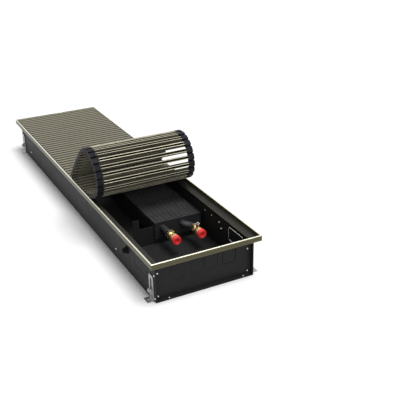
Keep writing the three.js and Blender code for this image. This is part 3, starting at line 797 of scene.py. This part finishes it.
def fin_shape():
    """One fin with its folded top and bottom lips, at Y 0."""
    thick, lip = 0.3 * mm, 2.0 * mm
    outline = [
        (0, exchanger_bottom), (lip, exchanger_bottom), (lip, exchanger_bottom + thick),
        (thick, exchanger_bottom + thick), (thick, exchanger_top - thick), (lip, exchanger_top - thick),
        (lip, exchanger_top), (0, exchanger_top),
    ]
    shape = bmesh.new()
    painted_shade = shape.faces.layers.float.new("painted_shade")
    sides = swept_section(shape, outline, exchanger_left, exchanger_right)
    for number in (0, 1, 2, 3, 4, 7):  # painted shade on all but the top lip's upper face and its edge, which keep the painted highlight
        sides[number][painted_shade] = 1.0
    return shape


# Painted shade on the fins below their top lips.
darken_by_painted_shade(fins_painted_light_and_shade, (0.004, 0.004, 0.004))
sheet_black = surface(
    "black_coated_sheet", (0.026, 0.026, 0.028), (0.036, 0.036, 0.039), 0.0012, (0.38, 0.50), 0.00003,
    specular=0.2,
)
one_fin = new_piece("one_fin", fin_shape(), fins_painted_light_and_shade)
fin_row = grown(even_row, "fins", {
    "Source": one_fin, "Count": fin_count, "First Place": (0, first_fin, 0),
    "Step": (0, fin_pitch, 0), "Play": (0.25 * mm, 0.22 * mm, 0.1 * mm), "Play Seed": 21,
    "Finish": fins_painted_light_and_shade,
})
bpy.data.objects.remove(one_fin)
fit(fin_row, "casing", "exchanger_black", "fin_pack")
for number, x in enumerate(pipe_places, 1):
    rings = []
    y = first_collar
    while y < fin_end - 6.2 * mm:
        rings += [
            (y, collar_radius), (y + collar_length, collar_radius),
            (y + collar_length + 0.5 * mm, collar_radius - 0.5 * mm),
        ]
        y += fin_pitch
    inner = [(rings[-1][0], 7.7 * mm), (rings[0][0], 7.7 * mm)]
    collars = new_piece(
        f"fin_collars_{number}",
        turned_shape(rings + inner, 20, "y", (x, 0, pipe_height), closed=True), sheet_black,
    )
    fit(collars, "casing", "exchanger_black")


def grooved_sheet():
    """The end sheet, pressed with level grooves, round the two pipe holes."""
    grooves = 10
    front, depth, thick = -266 * mm, 1.7 * mm, 0.5 * mm
    outline = []
    step = (exchanger_top - exchanger_bottom) / grooves
    for i in range(grooves):
        z = exchanger_bottom + i * step
        outline += [
            (front, z), (front, z + 0.5 * step), (front + depth, z + 0.58 * step),
            (front + depth, z + 0.92 * step),
        ]
    outline.append((front, exchanger_top))
    back = [(y + thick, z) for y, z in reversed(outline)]
    shape = bmesh.new()
    swept_section(shape, outline + back, exchanger_left, exchanger_right)
    return shape


end_sheet = new_piece("grooved_end_sheet", grooved_sheet(), sheet_black)
fit(end_sheet, "casing", "exchanger_black", "exchanger_header")


# ---- Heating tube ----
# One U-shaped copper tube, coated black, pressed into the fins. Its return leg steps sideways in a
# smooth double bend before the union.

pipe_radius = 7.5 * mm
tube_black = surface(
    "black_coated_tube", (0.034, 0.034, 0.038), (0.050, 0.050, 0.056), 0.0010, (0.26, 0.38), 0.00003,
)
port_start = -303 * mm
return_x = 70 * mm
far_turn = fin_end + 2 * mm
bend_start, bend_length = -268.3 * mm, 26 * mm

bend_steps = 16
route = [Vector((pipe_places[0], y, pipe_height)) for y in (port_start, far_turn - 1 * mm)]
turn_radius = (pipe_places[1] - pipe_places[0]) / 2
turn_centre = (pipe_places[0] + pipe_places[1]) / 2
for i in range(bend_steps + 1):
    a = math.pi * (1 - i / bend_steps)
    route.append(Vector((
        turn_centre + turn_radius * math.cos(a), far_turn + turn_radius * math.sin(a), pipe_height,
    )))
route.append(Vector((pipe_places[1], far_turn - 1 * mm, pipe_height)))
for i in range(bend_steps + 1):
    t = i / bend_steps
    sideways = t * t * (3 - 2 * t)
    route.append(Vector((
        pipe_places[1] + (return_x - pipe_places[1]) * sideways, bend_start - bend_length * t,
        pipe_height,
    )))
route.append(Vector((return_x, port_start, pipe_height)))


def tube_shape(points, radius, wall, sides):
    """A tube of even bore along level points, open at both ends."""
    shape = bmesh.new()
    rings = []
    for r in (radius, radius - wall):
        loops = []
        for i, point in enumerate(points):
            ahead_ = (points[min(i + 1, len(points) - 1)] - points[max(i - 1, 0)]).normalized()
            aside = ahead_.cross(Vector((0, 0, 1)))
            loops.append([
                shape.verts.new(
                    point + aside * r * math.cos(2 * math.pi * k / sides)
                    + Vector((0, 0, 1)) * r * math.sin(2 * math.pi * k / sides)
                )
                for k in range(sides)
            ])
        rings.append(loops)
    for loops in rings:
        for one, other in zip(loops, loops[1:]):
            for k in range(sides):
                j = (k + 1) % sides
                shape.faces.new((one[k], one[j], other[j], other[k]))
    for end in (0, -1):
        for k in range(sides):
            j = (k + 1) % sides
            shape.faces.new((rings[0][end][k], rings[0][end][j], rings[1][end][j], rings[1][end][k]))
    return shape


tube = new_piece("smooth_tube", tube_shape(route, pipe_radius, 1 * mm, 28), tube_black)
smooth(tube)
fit(tube, "casing", "pipe_black", "heating_tube")


# ---- Exchanger brackets ----
# Two folded sheet brackets, powder coated, stand on the trough's floor and carry the exchanger. The
# upright tab beside it takes the cover that closes off the cold side.

for end in ("near", "far"):
    bracket = from_frame(f"exchanger_support_{end}", f"bracket_{end}", powder_coat, 0.3 * mm)
    fit(bracket, "casing", "casing_paint", f"exchanger_support_{end}")


# ---- Union fittings and nuts ----
# Turned brass half-inch unions: a threaded tail, a narrow neck and a collar for the cap. The hexagonal
# union nut clamps the tube's end against the tail.


def hexagon(across_flats, limit=None):
    """Radius of a hexagon by angle, cut off at a limit where a chamfer rounds its corners."""
    def radius(angle):
        off_flat = (angle + math.pi / 6) % (math.pi / 3) - math.pi / 6
        r = across_flats / 2 / math.cos(off_flat)
        return min(r, limit) if limit else r
    return radius


def thread(start, end, crest, depth, pitch):
    """Rings of a thread drawn as even ridges, from start towards end."""
    count = max(int(abs(end - start) / pitch), 1)
    step = (end - start) / count
    rings = []
    for i in range(count):
        rings += [(start + step * i, crest - depth), (start + step * (i + 0.5), crest)]
    return rings + [(end, crest - depth)]


brass = surface(
    "turned_brass", (0.72, 0.55, 0.28), (0.84, 0.66, 0.36), 0.0004, (0.20, 0.32), 0.00001,
    metallic=1.0,
)


def fitting_shape(x):
    """The fitting's tail, neck and grooved collar with the bore through them, at one pipe."""
    outer = [(-303.3 * mm, 7.4 * mm)]
    outer += thread(-303.9 * mm, -315.0 * mm, 8.2 * mm, 0.55 * mm, 1.4 * mm)
    outer += [
        (-315.4 * mm, 7.9 * mm), (-322.4 * mm, 7.9 * mm), (-323.0 * mm, 8.2 * mm),
        (-323.0 * mm, 10.0 * mm), (-323.8 * mm, 10.8 * mm),
        (-325.6 * mm, 10.8 * mm), (-326.0 * mm, 10.4 * mm), (-327.4 * mm, 10.4 * mm),
        (-327.8 * mm, 10.8 * mm), (-329.7 * mm, 10.8 * mm), (-330.5 * mm, 10.0 * mm),
        (-330.5 * mm, 6.5 * mm), (-330.0 * mm, 6.0 * mm), (-303.8 * mm, 6.0 * mm),
        (-303.3 * mm, 6.5 * mm),
    ]
    return turned_shape(outer, 56, "y", (x, 0, pipe_height), closed=True)


def union_nut_shape(x):
    """The nut with chamfered corners and its bore, at one pipe."""
    flats, corner = 20 * mm, 11.55 * mm
    rings = [
        (-300.0 * mm, hexagon(flats, 10.1 * mm)), (-301.0 * mm, hexagon(flats, corner)),
        (-313.0 * mm, hexagon(flats, corner)), (-314.0 * mm, hexagon(flats, 10.1 * mm)),
        (-314.0 * mm, 9.2 * mm), (-313.4 * mm, 8.5 * mm), (-302.0 * mm, 8.5 * mm),
        (-302.0 * mm, 7.8 * mm), (-300.4 * mm, 7.8 * mm), (-300.0 * mm, 8.2 * mm),
    ]
    return turned_shape(rings, 72, "y", (x, 0, pipe_height), closed=True)


for side, x in (("supply", pipe_places[0]), ("return", return_x)):
    fitting = new_piece(f"{side}_union_body", fitting_shape(x), brass)
    smooth(fitting, 35)
    fit(fitting, "casing", "brass_fittings", f"{side}_fitting")
    nut = new_piece(f"{side}_nut", union_nut_shape(x), brass)
    smooth(nut, 25)
    fit(nut, f"{side}_union_nut_body", "brass_fittings", f"{side}_union_nut")
vent_axis = (return_x, -318.5 * mm, 0)
boss = new_piece("vent_boss", turned_shape([
    (46.6 * mm, 3.6 * mm), (51.6 * mm, 3.6 * mm), (52.0 * mm, 3.2 * mm),
], 28, "z", vent_axis), brass)
smooth(boss, 35)
fit(boss, "casing", "brass_fittings")


# ---- Protective caps ----
# Soft red plastic caps, moulded with a ribbed rim and a hexagonal key recess, pushed into the unions
# for transport.

red_plastic = surface(
    "moulded_red_plastic", (0.92, 0.050, 0.046), (0.98, 0.070, 0.062), 0.0016, (0.34, 0.46), 0.00004,
    coat=0.15,
)


def cap_shape(x):
    """The cap with its key recess, ribbed rim and the plug behind it, at one pipe."""
    ribs, rib_depth = 32, 0.28 * mm

    def ribbed(radius):
        return lambda a: radius - rib_depth * (0.5 - 0.5 * math.cos(ribs * a))
    recess = hexagon(10 * mm)
    rings = [
        (-337.6 * mm, 0.5 * mm), (-337.8 * mm, 1.7 * mm), (-335.3 * mm, 2.0 * mm),
        (-335.3 * mm, lambda a: recess(a) - 0.3 * mm), (-339.9 * mm, lambda a: recess(a)),
        (-340.3 * mm, lambda a: recess(a) + 0.4 * mm), (-340.3 * mm, 7.4 * mm),
        (-339.8 * mm, 7.8 * mm), (-339.8 * mm, 8.6 * mm), (-340.2 * mm, 9.0 * mm),
        (-340.0 * mm, 9.8 * mm), (-339.2 * mm, ribbed(10.6 * mm)), (-332.4 * mm, ribbed(10.7 * mm)),
        (-332.0 * mm, 10.7 * mm), (-331.2 * mm, 10.7 * mm), (-330.8 * mm, 10.3 * mm),
        (-330.8 * mm, 5.7 * mm), (-323.2 * mm, 5.6 * mm), (-322.8 * mm, 5.2 * mm),
    ]
    return turned_shape(rings, 128, "y", (x, 0, pipe_height))


for side, x in (("supply", pipe_places[0]), ("return", return_x)):
    cap = new_piece(f"{side}_red_cap", cap_shape(x), red_plastic)
    smooth(cap, 35)
    fit(cap, f"{side}_cap_body", "red_caps", f"{side}_cap")


# ---- Air vent ----
# A nickel-plated bleed valve on the return union: a hexagonal body and a slotted screw in it.

nickel = surface(
    "nickel_plate", (0.60, 0.59, 0.565), (0.70, 0.69, 0.665), 0.0005, (0.14, 0.24), 0.00001,
    metallic=1.0,
)
vent_flats, vent_bore = 8 * mm, 1.6 * mm
vent_body = new_piece("vent_hexagon", turned_shape([
    (52.3 * mm, hexagon(vent_flats, 4.1 * mm)), (52.7 * mm, hexagon(vent_flats)),
    (56.8 * mm, hexagon(vent_flats)), (57.3 * mm, hexagon(vent_flats, 4.05 * mm)),
    (57.3 * mm, vent_bore), (52.3 * mm, vent_bore),
], 48, "z", vent_axis, closed=True), nickel)
smooth(vent_body, 25)
fit(vent_body, "casing", "nickel_vent", "air_vent_body")
vent_screw = from_frame("air_vent_screw", "vent_screw", nickel, 0.15 * mm)
fit(vent_screw, "air_vent_screw_body", "nickel_vent", "air_vent_screw")


# ---- Adjustable feet ----
# Zinc-plated steel brackets, bent at the foot. A bolt through the trough's wall and the slot sets the
# height, and a screw through the pad fixes it to the floor below.

zinc = surface(
    "zinc_plate", (0.33, 0.335, 0.345), (0.46, 0.465, 0.47), 0.0011, (0.24, 0.40), 0.00003,
    metallic=0.85, stretch=(1, 1, 0.25),
)
corners = {
    "near_left": (-1, -1), "near_right": (1, -1), "far_left": (-1, 1), "far_right": (1, 1),
}


bolt_from_middle, bolt_height, nut_flats = 470 * mm, 23 * mm, 10 * mm
for corner, (side, end) in corners.items():
    foot = from_frame(f"foot_bracket_{corner}", f"foot_{corner}", zinc, 0.3 * mm)
    fit(foot, f"foot_{corner}", "zinc_feet", f"foot_bracket_{corner}")
    centre = (0, end * bolt_from_middle, bolt_height)
    out = side * mm
    bolt_rings = [
        (out * 109.2, 2.6 * mm), (out * 109.2, 4.2 * mm), (out * 109.7, 4.9 * mm),
        (out * 111.2, 5.0 * mm), (out * 111.7, 4.8 * mm), (out * 111.7, 2.9 * mm),
        (out * 114.6, 2.9 * mm),
    ]
    bolt_rings += thread(out * 115.0, out * 122.3, 2.9 * mm, 0.35 * mm, 1.0 * mm)
    bolt_rings += [(out * 122.9, 2.2 * mm)]
    recess = [
        (out * 110.8, 0.4 * mm),
        (out * 110.8, lambda a: 2.1 * mm * (0.4 + 0.6 * abs(math.cos(2 * a)) ** 2)),
        (out * 109.2, lambda a: 2.5 * mm * (0.4 + 0.6 * abs(math.cos(2 * a)) ** 2)),
    ]
    bolt = new_piece(f"bolt_{corner}", turned_shape(recess + bolt_rings[1:], 32, "x", centre), zinc)
    smooth(bolt, 35)
    fit(bolt, "casing", "zinc_feet", f"foot_bolt_{corner}")
    nut = new_piece(f"nut_{corner}", turned_shape([
        (out * 115.6, hexagon(nut_flats, 5.1 * mm)), (out * 116.2, hexagon(nut_flats)),
        (out * 120.0, hexagon(nut_flats)), (out * 120.6, hexagon(nut_flats, 5.1 * mm)),
        (out * 120.6, 3.6 * mm), (out * 120.2, 3.2 * mm), (out * 116.0, 3.2 * mm),
        (out * 115.6, 3.6 * mm),
    ], 48, "x", centre, closed=True), zinc)
    smooth(nut, 25)
    fit(nut, "casing", "zinc_feet", f"foot_nut_{corner}")


# ---- Cable gland ----
# A black rubber grommet with a short tapered sleeve, snapped into the left wall, for the cable of a
# fan or a valve.

rubber = surface(
    "black_rubber", (0.0025, 0.0025, 0.0025), (0.005, 0.005, 0.005), 0.0012, (0.60, 0.75), 0.00005,
    specular=0.1,
)
gland = new_piece("gland_ring", turned_shape([
    (-122.8 * mm, 4.1 * mm), (-122.8 * mm, 5.0 * mm), (-122.2 * mm, 5.6 * mm), (-116.2 * mm, 6.6 * mm),
    (-115.3 * mm, 7.6 * mm), (-114.6 * mm, 8.6 * mm), (-113.3 * mm, 8.8 * mm),
    (-113.3 * mm, 6.0 * mm), (-111.7 * mm, 6.0 * mm), (-111.7 * mm, 7.5 * mm), (-110.4 * mm, 7.5 * mm),
    (-109.7 * mm, 6.6 * mm), (-109.7 * mm, 4.6 * mm), (-110.3 * mm, 4.1 * mm),
], 40, "x", (0, -345 * mm, 53 * mm), closed=True), rubber)
smooth(gland)
fit(gland, "casing", "gland_rubber", "cable_gland")
